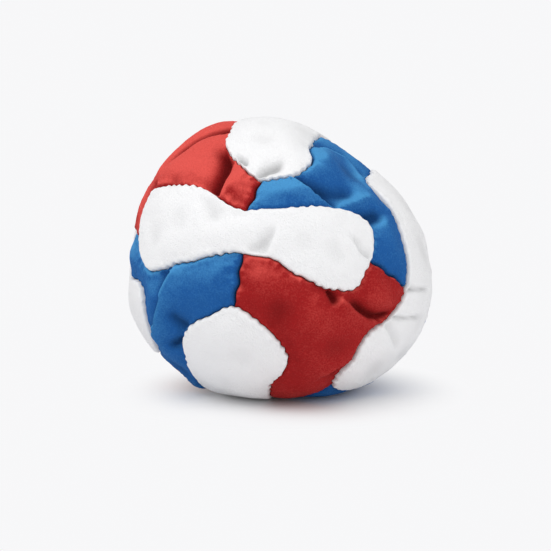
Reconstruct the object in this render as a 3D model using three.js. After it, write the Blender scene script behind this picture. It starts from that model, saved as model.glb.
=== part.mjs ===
// A sewn footbag: six dog-bone panels and eight corner panels of suede, joined edge to edge with thread
// round a filling of plastic pellets. It sits slumped on a floor, with its crown leaning to the left.
// Millimetres, +Z up, front towards -Y. The origin is on the floor under the middle of the bag.
import * as THREE from "three";

// Outer form of the bag, over the swollen panels
const WIDTH = 54.6;
const DEPTH = 54.6;
const HEIGHT = 48.8;
const WIDEST_HEIGHT = 18.8; // height of the widest part above the floor
const BELLY_SAG = 3; // how much of the belly the floor presses flat
const CROWN_LEAN = 3.2; // how far the crown leans to the left
const LEAN_CURVE = 1.5; // power by which the lean grows with height
const MIDDLE_X = 0.2; // place of the bag's upright axis
const MIDDLE_Y = 0.15;
const SHOULDER_HOLLOW = 2.8; // depths of the places where the slack suede has sunk in
const BELLY_HOLLOW = 0.7;
const FRONT_HOLLOW = 1;
const CROWN_HOLLOW = 0.8;

// Suede panels, each with its edges turned in as seam allowances
const PANEL_THICKNESS = 0.9;
const SEAM_DROP = 1.4; // how far the seams lie below the outer form
const WHITE_SINK = 0; // how far the crown of a panel lies below the outer form
const COLOUR_SINK = 0.2;
const SWELL_RUN = 7; // distance from a seam to the full height of a panel
const SHOULDER_DROP = 0.3;
const SHOULDER_ROUND = 0.3; // how far the shoulder stands back from the thread's channel
const ALLOWANCE_DEPTH = 2.6; // how far a turned-in edge reaches below its seam
const ALLOWANCE_THICKNESS = 0.7;
const SEAM_GAP = 0.3; // between two panels sewn together

// Sewing thread, in a channel between the panels
const THREAD_DIAMETER = 0.4;
const THREAD_CLEARANCE = 0.15;
const STITCH_DEPTH = 1; // middle of the thread below the seam
const CHANNEL_FLOOR = 0.45; // from the middle of the thread down to where the panels meet

// Filling of pellets, one solid that fills the bag
const FILLING_CLEARANCE = 0.3;

// How finely the outlines and the crowns of the panels are followed
const SPAN_STEPS = 2; // in each of the four spans from a bone's tip to its waist
const SEAM_STEPS = 2; // in each seam between two corner panels
const CROWN_STEP = 5; // edges inside the crown of a panel are halved above this length
const CROWN_SPACING = 2.2; // and where no other point is as near as this
const CURVE_TENSION = 0.5; // of the curve through the points of a bone's outline
const TURN_SLACK = 1e-6; // radians by which two triangles may be too sharp before their edge is turned

// Colours of the suede, the thread and the pellets
const WHITE = 0xeceaeb;
const RED = 0xb5343a;
const BLUE = 0x2f70b4;
const THREAD_COLOUR = 0x23283a;
const PELLET_COLOUR = 0xe6e1d2;
const SUEDE_ROUGHNESS = 0.95;
const THREAD_ROUGHNESS = 0.7;
const PELLET_ROUGHNESS = 0.6;

// Layout of the panels. Directions from the middle of the bag are a yaw, 0 at the front and positive
// to the right, and a pitch, both in degrees. A bone has two lobes and a waist. A lobe has its reach
// at each eighth of a turn, counter clockwise from outside, with 0 at the tip. The waist has its places
// between the lobes, and its reach to the neighbours named in waists. Names in tips and waists are the
// bones that the seams from there run to.
const EIGHTH_ANGLES = [-135, -90, -45, 0, 45, 90, 135];
const PLAIN_LOBE_ANGLES = [19, 21, 21, 21, 21, 21, 19];
const lobe = (yaw, pitch, reach = PLAIN_LOBE_ANGLES) => ({ yaw, pitch, reach });
const BONES = {
  front: {
    tips: ["left", "right"],
    waists: ["bottom", "top"],
    lobes: [
      lobe(-50.5, 26.5, [20.5, 17.5, 27, 21, 18.5, 15, 17]),
      lobe(23, 22, [18, 16.5, 16, 15, 18.5, 16, 17.5]),
    ],
    waist: { places: [0.5, 0.5], reach: [9, 7] },
  },
  back: {
    tips: ["left", "right"],
    waists: ["top", "bottom"],
    lobes: [lobe(-152, -7), lobe(132, -7)],
    waist: { places: [0.5, 0.5], reach: [10, 10] },
  },
  top: {
    tips: ["front", "back"],
    waists: ["right", "left"],
    lobes: [lobe(1.5, 62, [24, 15, 12, 14, 13.5, 14.5, 18]), lobe(157, 50.5)],
    waist: { places: [0.61, 0.61], reach: [10, 14] },
  },
  bottom: {
    tips: ["front", "back"],
    waists: ["left", "right"],
    lobes: [
      lobe(-21, -17, [24.5, 22, 17.5, 17.5, 14, 19, 29]),
      lobe(-174, -65, [19.5, 22, 24, 25, 24, 22, 20]),
    ],
    waist: { places: [0.52, 0.52], reach: [18, 12.5] },
  },
  right: {
    tips: ["bottom", "top"],
    waists: ["back", "front"],
    lobes: [
      lobe(49, -19.5, [15, 14.5, 16, 26, 27.5, 27.5, 31]),
      lobe(88.5, 32.5, [22, 20, 18, 19.5, 16.5, 21.5, 23]),
    ],
    waist: { places: [0.55, 0.37], reach: [18, 8.5] },
  },
  left: {
    tips: ["bottom", "top"],
    waists: ["front", "back"],
    lobes: [
      lobe(-94.5, -10, [17, 18, 18, 20.5, 29, 30.5, 16]),
      lobe(-118, 42, [14, 14.5, 16, 19, 20, 20, 18]),
    ],
    waist: { places: [0.53, 0.53], reach: [10, 12] },
  },
};

// Places where the slack suede has sunk in, each with the angle that it spreads over
const HOLLOWS = [
  { yaw: 75, pitch: 57, angle: 16, depth: SHOULDER_HOLLOW },
  { yaw: -62, pitch: -36, angle: 13, depth: BELLY_HOLLOW },
  { yaw: 32, pitch: -3, angle: 9, depth: FRONT_HOLLOW },
  { yaw: 38, pitch: 41, angle: 10, depth: CROWN_HOLLOW },
];

const QUARTER = 4 * SPAN_STEPS; // steps from a bone's tip to its waist
const radians = THREE.MathUtils.degToRad;

function towards(yaw, pitch) {
  const y = radians(yaw);
  const p = radians(pitch);
  return new THREE.Vector3(Math.sin(y) * Math.cos(p), -Math.cos(y) * Math.cos(p), Math.sin(p));
}

function between(first, second, share) {
  return first.clone().lerp(second, share).normalize();
}

// Distance from the middle of the bag to the floor along a direction.
function floorRadius(direction) {
  return direction.z < 0 ? -WIDEST_HEIGHT / direction.z : Infinity;
}

// Distance from the middle of the bag to its outer form, before the floor flattens it.
function formRadius(direction) {
  const rise = direction.z > 0 ? HEIGHT - WIDEST_HEIGHT : WIDEST_HEIGHT + BELLY_SAG;
  const shape = new THREE.Vector3(direction.x / (WIDTH / 2), direction.y / (DEPTH / 2), direction.z / rise);
  let radius = 1 / shape.length();
  for (const hollow of HOLLOWS) {
    const away = direction.angleTo(towards(hollow.yaw, hollow.pitch)) / radians(hollow.angle);
    radius -= hollow.depth * Math.exp(-away * away);
  }
  return radius;
}

function seamRadius(direction) {
  return Math.min(formRadius(direction) - SEAM_DROP, floorRadius(direction));
}

// The outside of a panel, which swells from its seams to its crown.
function panelRadius(direction, panel) {
  const nearest = Math.min(...panel.loop.map((point) => point.angleTo(direction)));
  const share = Math.min(1, (nearest * formRadius(direction)) / SWELL_RUN);
  const swell = Math.sin((share * Math.PI) / 2);
  const sink = THREE.MathUtils.lerp(SEAM_DROP, panel.sink, swell);
  return Math.min(formRadius(direction) - sink, floorRadius(direction));
}

// A point of the leaning bag, from its direction and its distance from the middle.
function place(direction, radius) {
  const height = direction.z * radius;
  const climb = Math.max(0, height) / (HEIGHT - WIDEST_HEIGHT);
  return new THREE.Vector3(
    MIDDLE_X + direction.x * radius - CROWN_LEAN * climb ** LEAN_CURVE,
    MIDDLE_Y + direction.y * radius,
    WIDEST_HEIGHT + height,
  );
}

// Directions to the left of a path of directions, square to it, mitred at its corners.
function leftOf(path, closed) {
  return path.map((point, i) => {
    const before = closed || i > 0 ? path.at(i - 1) : undefined;
    const after = closed || i < path.length - 1 ? path[(i + 1) % path.length] : undefined;
    const sides = [];
    if (before) sides.push(before.clone().cross(point).normalize());
    if (after) sides.push(point.clone().cross(after).normalize());
    if (sides.length === 1) return sides[0];
    const spread = 1 + sides[0].dot(sides[1]);
    return sides[0].add(sides[1]).divideScalar(spread);
  });
}

// A closed outline moved inwards by a width.
function inset(loop, width) {
  const left = leftOf(loop, true);
  return loop.map((point, i) =>
    point
      .clone()
      .addScaledVector(left[i], width / seamRadius(point))
      .normalize(),
  );
}

function lobePoint(middle, other, angle, reach) {
  const tipwards = middle.clone().multiplyScalar(middle.dot(other)).sub(other).normalize();
  const sideways = middle.clone().cross(tipwards);
  return middle
    .clone()
    .multiplyScalar(Math.cos(radians(reach)))
    .addScaledVector(tipwards, Math.cos(radians(angle)) * Math.sin(radians(reach)))
    .addScaledVector(sideways, Math.sin(radians(angle)) * Math.sin(radians(reach)));
}

// A bone, with its outline counter clockwise from its first tip.
function makeBone(name) {
  const { lobes, waist } = BONES[name];
  const [first, second] = lobes.map(({ yaw, pitch }) => towards(yaw, pitch));
  const point = (which, eighth) => {
    const [middle, other] = which === 0 ? [first, second] : [second, first];
    return lobePoint(middle, other, EIGHTH_ANGLES[eighth], lobes[which].reach[eighth]);
  };
  const across = first.clone().cross(second).normalize();
  const waistPoint = (which) => {
    const reach = radians(which === 0 ? -waist.reach[0] : waist.reach[1]);
    const start = between(first, second, waist.places[which]);
    return start.multiplyScalar(Math.cos(reach)).addScaledVector(across, Math.sin(reach));
  };
  const corners = [
    ...[3, 4, 5, 6].map((eighth) => point(0, eighth)),
    waistPoint(0),
    ...[0, 1, 2, 3, 4, 5, 6].map((eighth) => point(1, eighth)),
    waistPoint(1),
    ...[0, 1, 2].map((eighth) => point(0, eighth)),
  ];
  const curve = new THREE.CatmullRomCurve3(corners, true, "catmullrom", CURVE_TENSION);
  const loop = curve.getPoints(4 * QUARTER).slice(0, -1);
  loop.forEach((direction) => direction.normalize());
  const middle = between(first, second, (waist.places[0] + waist.places[1]) / 2);
  return { name: `white_bone_${name}`, colour: WHITE, sink: WHITE_SINK, loop, middle };
}

const bones = Object.fromEntries(Object.keys(BONES).map((name) => [name, makeBone(name)]));

const tipIndex = (name, neighbour) => BONES[name].tips.indexOf(neighbour) * 2 * QUARTER;
const waistIndex = (name, neighbour) => QUARTER + BONES[name].waists.indexOf(neighbour) * 2 * QUARTER;

// The quarter of a bone's outline from one tip to one waist.
function quarter(name, tip, waist) {
  const { loop } = bones[name];
  const start = tipIndex(name, tip);
  const end = waistIndex(name, waist);
  const step = (end - start + loop.length) % loop.length === QUARTER ? 1 : -1;
  return Array.from({ length: QUARTER + 1 }, (_, i) => loop.at((start + step * i) % loop.length));
}

// The seam between two corner panels, from a bone's waist to the tip of the bone beside it.
function crossSeam(waistBone, tipBone) {
  const start = bones[waistBone].loop[waistIndex(waistBone, tipBone)];
  const end = bones[tipBone].loop[tipIndex(tipBone, waistBone)];
  return Array.from({ length: SEAM_STEPS + 1 }, (_, i) => between(start, end, i / SEAM_STEPS));
}

// A corner panel: three bone quarters joined by three cross seams, counter clockwise.
function makeCorner(side, face, level) {
  const ring = [
    [face, side, level],
    [level, face, side],
    [side, level, face],
  ];
  let quarters = ring.map(([name, tip, waist]) => quarter(name, tip, waist));
  let seams = ring.map(([name, , waist]) => crossSeam(name, waist).slice(1, -1));
  const middle = new THREE.Vector3();
  quarters.flat().forEach((point) => middle.add(point));
  middle.normalize();
  const turn = quarters[0][0].clone().cross(quarters[1][0]).add(quarters[1][0].clone().cross(quarters[2][0]));
  if (turn.dot(middle) < 0) {
    quarters = quarters.map((points) => points.toReversed()).toReversed();
    seams = [seams[1], seams[0], seams[2]].map((points) => points.toReversed());
  }
  const loop = quarters.flatMap((points, i) => [...points, ...seams[i]]);
  const red = (side === "left") === ((face === "front") === (level === "top"));
  const height = level === "top" ? "upper" : "lower";
  return {
    name: `${red ? "red" : "blue"}_panel_${face}_${height}_${side}`,
    colour: red ? RED : BLUE,
    sink: COLOUR_SINK,
    loop,
    middle,
  };
}

const corners = ["left", "right"].flatMap((side) =>
  ["front", "back"].flatMap((face) => ["top", "bottom"].map((level) => makeCorner(side, face, level))),
);
const panels = [...Object.values(bones), ...corners];

// Every edge that two triangles share: its ends, the corners across from it, and the two triangles.
function sharedEdges(triangles) {
  const seen = new Map();
  const shared = [];
  triangles.forEach((corners, triangle) => {
    corners.forEach((start, i) => {
      const end = corners[(i + 1) % 3];
      const across = corners[(i + 2) % 3];
      const other = seen.get(`${end} ${start}`);
      if (other) {
        const { across: beyond, triangle: neighbour } = other;
        shared.push({ start, end, across, beyond, triangle, neighbour });
      }
      seen.set(`${start} ${end}`, { across, triangle });
    });
  });
  return shared;
}

// Fills an outline with triangles: long inner edges are halved, and an edge between two triangles
// that are too sharp is turned to join their far corners.
function fillOutline(outline, middle) {
  const east = outline[0].clone().cross(middle).normalize();
  const north = middle.clone().cross(east);
  const flatten = (direction) => {
    const away = new THREE.Vector2(direction.dot(east), direction.dot(north));
    return away.setLength(middle.angleTo(direction) * formRadius(middle));
  };
  const directions = [...outline];
  const flat = outline.map(flatten);
  const triangles = THREE.ShapeUtils.triangulateShape(flat, []);
  const opening = (corner, a, b) => {
    const [toA, toB] = [a, b].map((i) => flat[i].clone().sub(flat[corner]));
    return toA.angleTo(toB);
  };
  const turnEdges = () => {
    const isSharp = ({ start, end, across, beyond }) =>
      opening(across, start, end) + opening(beyond, start, end) > Math.PI + TURN_SLACK;
    let edge = sharedEdges(triangles).find(isSharp);
    while (edge) {
      triangles[edge.triangle] = [edge.across, edge.start, edge.beyond];
      triangles[edge.neighbour] = [edge.across, edge.beyond, edge.end];
      edge = sharedEdges(triangles).find(isSharp);
    }
  };
  const length = ({ start, end }) => flat[start].distanceTo(flat[end]);
  const isOpen = ({ start, end }) => {
    const halfway = flat[start].clone().lerp(flat[end], 0.5);
    return flat.every((point) => point.distanceTo(halfway) > CROWN_SPACING);
  };
  const longest = () =>
    sharedEdges(triangles)
      .filter((edge) => length(edge) > CROWN_STEP && isOpen(edge))
      .sort((a, b) => length(b) - length(a))[0];
  turnEdges();
  for (let edge = longest(); edge; edge = longest()) {
    const { start, end, across, beyond } = edge;
    const halfway = directions.push(between(directions[start], directions[end], 0.5)) - 1;
    flat.push(flatten(directions[halfway]));
    triangles[edge.triangle] = [start, halfway, across];
    triangles[edge.neighbour] = [end, halfway, beyond];
    triangles.push([halfway, end, across], [halfway, start, beyond]);
    turnEdges();
  }
  return { directions, triangles };
}

// Collects points and triangles of one closed solid.
class Surface {
  points = [];
  triangles = [];

  ring(points) {
    const start = this.points.length;
    this.points.push(...points);
    return points.map((_, i) => start + i);
  }

  // Joins two rings by triangles, each four-sided step cut along its shorter diagonal.
  strip(first, second) {
    const span = (a, b) => this.points[a].distanceTo(this.points[b]);
    first.forEach((start, i) => {
      const next = (i + 1) % first.length;
      const [end, across, beside] = [first[next], second[next], second[i]];
      if (span(start, across) < span(end, beside)) {
        this.triangles.push([start, end, across], [start, across, beside]);
      } else {
        this.triangles.push([start, end, beside], [end, across, beside]);
      }
    });
  }

  cap(ring, triangles, flipped = false) {
    triangles.forEach(([a, b, c]) => {
      const corners = flipped ? [a, c, b] : [a, b, c];
      this.triangles.push(corners.map((corner) => ring[corner]));
    });
  }

  mesh(name, colour, roughness) {
    const geometry = new THREE.BufferGeometry();
    geometry.setFromPoints(this.points);
    geometry.setIndex(this.triangles.flat());
    geometry.computeVertexNormals();
    const material = new THREE.MeshStandardMaterial({ color: colour, roughness, metalness: 0 });
    const mesh = new THREE.Mesh(geometry, material);
    mesh.name = name;
    return mesh;
  }
}

const allowanceInside = SEAM_GAP / 2 + ALLOWANCE_THICKNESS;
const channelSide = THREAD_DIAMETER / 2 + THREAD_CLEARANCE;
const crownEdge = allowanceInside + FILLING_CLEARANCE;

panels.forEach((panel) => {
  panel.crown = fillOutline(inset(panel.loop, crownEdge), panel.middle);
});

const below = (loop, depth) => loop.map((direction) => place(direction, seamRadius(direction) - depth));

const onPanel = (loop, panel, depth) =>
  loop.map((direction) => place(direction, panelRadius(direction, panel) - depth));

// A suede panel: its lining side, its turned-in edge, the thread's channel, its shoulder and its crown.
function panelMesh(panel) {
  const { loop, crown } = panel;
  const surface = new Surface();
  const edge = inset(loop, SEAM_GAP / 2);
  const turn = inset(loop, allowanceInside);
  const outside = surface.ring(onPanel(crown.directions, panel, 0));
  const lining = surface.ring(onPanel(crown.directions, panel, PANEL_THICKNESS));
  const rings = [
    lining.slice(0, loop.length),
    surface.ring(below(turn, PANEL_THICKNESS)),
    surface.ring(below(turn, ALLOWANCE_DEPTH)),
    surface.ring(below(edge, ALLOWANCE_DEPTH)),
    surface.ring(below(edge, STITCH_DEPTH + CHANNEL_FLOOR)),
    surface.ring(below(inset(loop, channelSide), STITCH_DEPTH)),
    surface.ring(below(inset(loop, channelSide + SHOULDER_ROUND), SHOULDER_DROP)),
    outside.slice(0, loop.length),
  ];
  rings.slice(1).forEach((ring, i) => surface.strip(rings[i], ring));
  surface.cap(outside, crown.triangles);
  surface.cap(lining, crown.triangles, true);
  return surface.mesh(panel.name, panel.colour, SUEDE_ROUGHNESS);
}

// The pellets as one mass, clear of every panel and of the turned-in edges.
function fillingMesh() {
  const surface = new Surface();
  for (const panel of panels) {
    const { loop, crown } = panel;
    const outside = surface.ring(onPanel(crown.directions, panel, PANEL_THICKNESS + FILLING_CLEARANCE));
    const foot = crown.directions.slice(0, loop.length);
    const rings = [
      surface.ring(below(loop, ALLOWANCE_DEPTH + FILLING_CLEARANCE)),
      surface.ring(below(foot, ALLOWANCE_DEPTH + FILLING_CLEARANCE)),
      outside.slice(0, loop.length),
    ];
    rings.slice(1).forEach((ring, i) => surface.strip(rings[i], ring));
    surface.cap(outside, crown.triangles);
  }
  return surface.mesh("pellet_filling", PELLET_COLOUR, PELLET_ROUGHNESS);
}

// A length of thread of four-sided section along a path of directions.
function threadMesh(name, path, closed) {
  const surface = new Surface();
  const half = THREAD_DIAMETER / 2;
  const left = leftOf(path, closed);
  const sections = path.map((direction, i) => {
    const radius = seamRadius(direction) - STITCH_DEPTH;
    const aside = (width) => direction.clone().addScaledVector(left[i], width / radius).normalize();
    return surface.ring([
      place(direction, radius + half),
      place(aside(-half), radius),
      place(direction, radius - half),
      place(aside(half), radius),
    ]);
  });
  sections.slice(1).forEach((section, i) => surface.strip(sections[i], section));
  if (closed) {
    surface.strip(sections.at(-1), sections[0]);
  } else {
    const quad = [
      [0, 1, 2],
      [0, 2, 3],
    ];
    surface.cap(sections[0], quad, true);
    surface.cap(sections.at(-1), quad);
  }
  return surface.mesh(name, THREAD_COLOUR, THREAD_ROUGHNESS);
}

// A cross seam's thread stops clear of the threads round the two bones that it runs between.
function crossThreadPath(waistBone, tipBone) {
  const seam = crossSeam(waistBone, tipBone);
  const trim = THREAD_DIAMETER + THREAD_CLEARANCE;
  const shorten = (end, next) => {
    const share = trim / (end.angleTo(next) * seamRadius(end));
    return between(end, next, share);
  };
  return [shorten(seam[0], seam[1]), ...seam.slice(1, -1), shorten(seam.at(-1), seam.at(-2))];
}

const footbag = new THREE.Group();
panels.forEach((panel) => footbag.add(panelMesh(panel)));
Object.entries(bones).forEach(([name, bone]) => {
  footbag.add(threadMesh(`thread_round_${name}_bone`, bone.loop, true));
});
Object.entries(BONES).forEach(([name, { waists }]) => {
  waists.forEach((neighbour) => {
    footbag.add(threadMesh(`thread_${neighbour}_tip_to_${name}`, crossThreadPath(name, neighbour), false));
  });
});
footbag.add(fillingMesh());

export default footbag;
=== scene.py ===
"""A sewn footbag of six white dog-bone panels and eight red and blue corner panels of suede.

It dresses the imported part: every panel, thread and the filling of pellets takes the place of its solid.
Lengths in this file are millimetres until a mesh is made, and the properties hold metres.
"""

import math
from itertools import product
from typing import NamedTuple

import bpy
import numpy as np
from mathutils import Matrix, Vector, kdtree, noise
from mathutils.geometry import delaunay_2d_cdt


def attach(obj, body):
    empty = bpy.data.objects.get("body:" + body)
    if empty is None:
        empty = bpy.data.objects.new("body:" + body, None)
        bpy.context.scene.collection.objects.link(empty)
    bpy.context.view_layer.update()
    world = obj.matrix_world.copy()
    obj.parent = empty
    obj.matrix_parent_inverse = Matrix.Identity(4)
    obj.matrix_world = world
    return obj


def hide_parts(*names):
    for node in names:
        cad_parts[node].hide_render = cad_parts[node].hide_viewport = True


bl_info = {
    "name": "Footbag",
    "version": (1, 0, 0),
    "blender": (4, 5, 0),
    "location": "View3D > Sidebar > Footbag",
    "description": "A sewn suede footbag with fourteen panels, standing on a pale floor",
    "category": "Add Mesh",
}

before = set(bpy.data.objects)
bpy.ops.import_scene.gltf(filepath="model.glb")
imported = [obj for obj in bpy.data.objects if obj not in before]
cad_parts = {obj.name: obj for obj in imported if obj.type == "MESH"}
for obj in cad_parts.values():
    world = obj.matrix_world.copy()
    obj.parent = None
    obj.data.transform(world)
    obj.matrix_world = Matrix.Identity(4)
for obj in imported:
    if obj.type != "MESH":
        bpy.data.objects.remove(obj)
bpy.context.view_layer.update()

MM = 0.001
BODY = "root"
TINY = 1e-6  # keeps a division from failing
MERGE_DISTANCE = 1e-7  # points of a flat cut that lie closer than this count as one
SEED_START = 0.5  # noise is 0 at whole numbers, so seeds lie between them
ROW_HEIGHT = math.sqrt(0.75)  # from row to row of evenly spaced points, as a share of their spacing
LAYER_HEIGHT = math.sqrt(2 / 3)  # and from layer to layer
NEARLY_UP = (0.1, 0.2, 1)  # upwards, but along no panel's middle

# Layout of the panels, as on the solids. Directions from the middle of the bag are a yaw, 0 at the
# front and positive to the right, and a pitch, in degrees. A lobe has a yaw, a pitch and its reach at
# each eighth of a turn, counter clockwise from outside, with 0 at the tip. Tips and waists name the
# neighbouring bones.
EIGHTH_ANGLES = (-135, -90, -45, 0, 45, 90, 135)
PLAIN_LOBE = (19, 21, 21, 21, 21, 21, 19)
BONES = {
    "front": {
        "tips": ("left", "right"),
        "waists": ("bottom", "top"),
        "lobes": (
            (-50.5, 26.5, (20.5, 17.5, 27, 21, 18.5, 15, 17)),
            (23, 22, (18, 16.5, 16, 15, 18.5, 16, 17.5)),
        ),
        "waist_places": (0.5, 0.5),
        "waist_reach": (9, 7),
    },
    "back": {
        "tips": ("left", "right"),
        "waists": ("top", "bottom"),
        "lobes": ((-152, -7, PLAIN_LOBE), (132, -7, PLAIN_LOBE)),
        "waist_places": (0.5, 0.5),
        "waist_reach": (10, 10),
    },
    "top": {
        "tips": ("front", "back"),
        "waists": ("right", "left"),
        "lobes": (
            (1.5, 62, (24, 15, 12, 14, 13.5, 14.5, 18)),
            (157, 50.5, PLAIN_LOBE),
        ),
        "waist_places": (0.61, 0.61),
        "waist_reach": (10, 14),
    },
    "bottom": {
        "tips": ("front", "back"),
        "waists": ("left", "right"),
        "lobes": (
            (-21, -17, (24.5, 22, 17.5, 17.5, 14, 19, 29)),
            (-174, -65, (19.5, 22, 24, 25, 24, 22, 20)),
        ),
        "waist_places": (0.52, 0.52),
        "waist_reach": (18, 12.5),
    },
    "right": {
        "tips": ("bottom", "top"),
        "waists": ("back", "front"),
        "lobes": (
            (49, -19.5, (15, 14.5, 16, 26, 27.5, 27.5, 31)),
            (88.5, 32.5, (22, 20, 18, 19.5, 16.5, 21.5, 23)),
        ),
        "waist_places": (0.55, 0.37),
        "waist_reach": (18, 8.5),
    },
    "left": {
        "tips": ("bottom", "top"),
        "waists": ("front", "back"),
        "lobes": (
            (-94.5, -10, (17, 18, 18, 20.5, 29, 30.5, 16)),
            (-118, 42, (14, 14.5, 16, 19, 20, 20, 18)),
        ),
        "waist_places": (0.53, 0.53),
        "waist_reach": (10, 12),
    },
}
SPANS = 4  # spans of a bone's outline from a tip to a waist

# Places where the slack suede has sunk in: yaw, pitch, reach in degrees, depth
HOLLOWS = ((75, 57, 16, 2.8), (-62, -36, 13, 0.7), (32, -3, 9, 1), (38, 41, 10, 0.8))


class Fold(NamedTuple):
    """A fold of a panel. Where its right side isn't given, it is like the left."""

    path: tuple  # yaws and pitches
    roundness: float  # of the line where its sides meet
    ends: tuple  # how much of it is kept at its start and at its end
    left: tuple  # height and width of its left side
    right: tuple = None


# Folds of the slack suede, panel by panel
CROWN_FOLD = ((-66, 77), (-73, 70.5), (-75, 64), (-76, 57.5), (-78, 50))
FOLDS = {
    "red_panel_front_upper_left": (
        Fold(CROWN_FOLD, 0.3, (1, 0.4), (0, 1), (0.3, 3)),
        Fold(CROWN_FOLD, 0.3, (1, 0.3), (-0.7, 0.9), (-0.7, 1.2)),
        Fold(
            ((-29.6, 60.9), (-27.4, 53.4), (-27.6, 48.9), (-29.1, 41.7)),
            0.35,
            (1, 0.8),
            (-1.3, 0.7),
            (-1.3, 1.7),
        ),
        Fold(((-14.1, 50.7), (-20.1, 47), (-24.6, 43.1)), 0.5, (0.8, 0.8), (0.3, 1.2)),
        Fold(((-21.6, 44), (-19.7, 42.1), (-17.5, 40.1)), 0.4, (0.3, 1), (-0.2, 0.8)),
        Fold(((-88, 30), (-88, 20), (-87, 8)), 2, (0.3, 1), (0.2, 5)),
    ),
    "blue_panel_front_upper_right": (
        Fold(
            ((45.2, 64.5), (66, 65), (83, 60.5), (82, 55.3), (75, 50.7), (69, 47.5)),
            0.2,
            (0.8, 0.8),
            (-0.6, 1.2),
            (0.4, 2.5),
        ),
        Fold(
            ((13.8, 48.6), (18.3, 45.4), (22.5, 42.3), (28.1, 38.3)),
            0.2,
            (0.8, 0.5),
            (-1.4, 1.8),
            (0.4, 2.5),
        ),
        Fold(((26.2, 44.2), (36.5, 43), (48.5, 40.6)), 0.5, (0.8, 0.2), (-0.5, 1.3)),
        Fold(((20.6, 51.9), (35.4, 55.8), (54.4, 60.1)), 0.8, (0.6, 0.4), (0.5, 2.2)),
        Fold(((32.1, 37.9), (40.5, 38.5), (50.9, 39)), 0.3, (0.4, 0.3), (0.5, 0.9)),
        Fold(((40.9, 32.6), (46.7, 31.8), (54.5, 32.1)), 0.35, (0.8, 0.3), (-0.9, 1.3)),
        Fold(((43.7, 28), (48.9, 28.1), (55, 28.6)), 0.4, (0.5, 0.2), (0.2, 1.2)),
    ),
    "blue_panel_front_lower_left": (
        Fold(
            ((-44.9, 10.6), (-47.4, 3.9), (-49.2, -1.3), (-52.5, -8.4), (-57, -14)),
            0.12,
            (0.9, 0.7),
            (0.7, 2),
            (-0.8, 1.3),
        ),
        Fold(((-46.6, -2.8), (-43.2, -6.6), (-39.9, -9.2)), 0.5, (0.2, 0.9), (-0.6, 1.6)),
        Fold(((-52.7, -19.3), (-47.2, -17), (-42.9, -15.4)), 0.2, (0.2, 1), (-0.7, 0.7)),
        Fold(((-80, -46), (-66, -48), (-54, -50)), 1.5, (0.6, 0.6), (0.5, 3)),
    ),
    "red_panel_front_lower_right": (
        Fold(((-2.2, 8), (-2, 2), (-1.6, -4), (-1.4, -10)), 1, (0.1, 0.8), (-0.25, 1.8), (-0.25, 2.5)),
        Fold(((8.8, 5), (13.1, -3.9), (13.2, -12.5)), 1, (0.6, 0.4), (0.3, 3)),
        Fold(((16.6, 5.5), (19, 1)), 0.25, (1, 0.3), (0.3, 0.6)),
        Fold(((18.1, 7), (19.2, 3.7), (20.8, 0.6)), 0.25, (1, 0.2), (-1, 0.8)),
        Fold(((22.8, 6), (24.5, 2.5), (27.1, -1.2)), 0.25, (1, 0.5), (0.4, 0.8)),
        Fold(
            ((24.5, 2.1), (29.7, -2), (34.6, -5.1), (39.2, -6.4), (44.7, -6)),
            0.2,
            (0.5, 0.9),
            (-1.3, 1.6),
            (0.2, 1.5),
        ),
        Fold(((29, 3), (37, 0.5), (44, -1)), 0.8, (0.5, 0.8), (0.6, 2.5)),
        Fold(((17.9, -30.9), (22.5, -27.2), (28, -24.8)), 0.2, (0.2, 0.9), (0.35, 1.8), (-0.7, 1.1)),
    ),
    "red_panel_back_upper_right": (
        Fold(((115, 69), (103, 61), (98, 54), (96, 48)), 1, (1, 1), (-0.9, 3)),
    ),
    "white_bone_front": (
        Fold(((1.6, 30.5), (-0.9, 26), (-3.6, 21.6)), 0.3, (0.1, 0.6), (0.12, 1.2), (-0.25, 1.8)),
        Fold(((-9, 21.6), (-5.8, 23.4), (-3.3, 26)), 0.3, (0.8, 0.3), (-0.2, 1)),
        Fold(
            ((29.8, 26.8), (31.4, 22.4), (32.9, 18.8), (35.5, 16.8)),
            0.25,
            (0.2, 1),
            (-0.35, 1.4),
            (0.15, 1),
        ),
        Fold(((-32.8, 39.4), (-26.8, 34.3), (-23.3, 29.1)), 0.4, (0.9, 0.1), (-0.15, 1.2)),
    ),
    "white_bone_top": (
        Fold(((-19.5, 57.6), (-15.1, 56.2), (-12.1, 57.8)), 0.3, (0.8, 0.3), (-0.6, 0.8)),
        Fold(((-7.3, 49), (-1.6, 52.6), (4.5, 54), (11.9, 57.4)), 0.3, (0.9, 0.2), (-0.7, 0.9)),
    ),
    "white_bone_right": (
        Fold(((50.5, 2.4), (57, 3), (64.7, 2), (75.2, 0.7)), 0.1, (1, 0.1), (-0.4, 0.3)),
        Fold(((46, -5.6), (51, -7), (59.4, -7.9), (68.1, -9.3)), 0.1, (1, 0.1), (-0.35, 0.3)),
        Fold(((42.6, -9.2), (47.7, -15.4), (56, -22.9)), 0.4, (0.8, 0.1), (-0.25, 2), (0.2, 2)),
    ),
}


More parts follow.
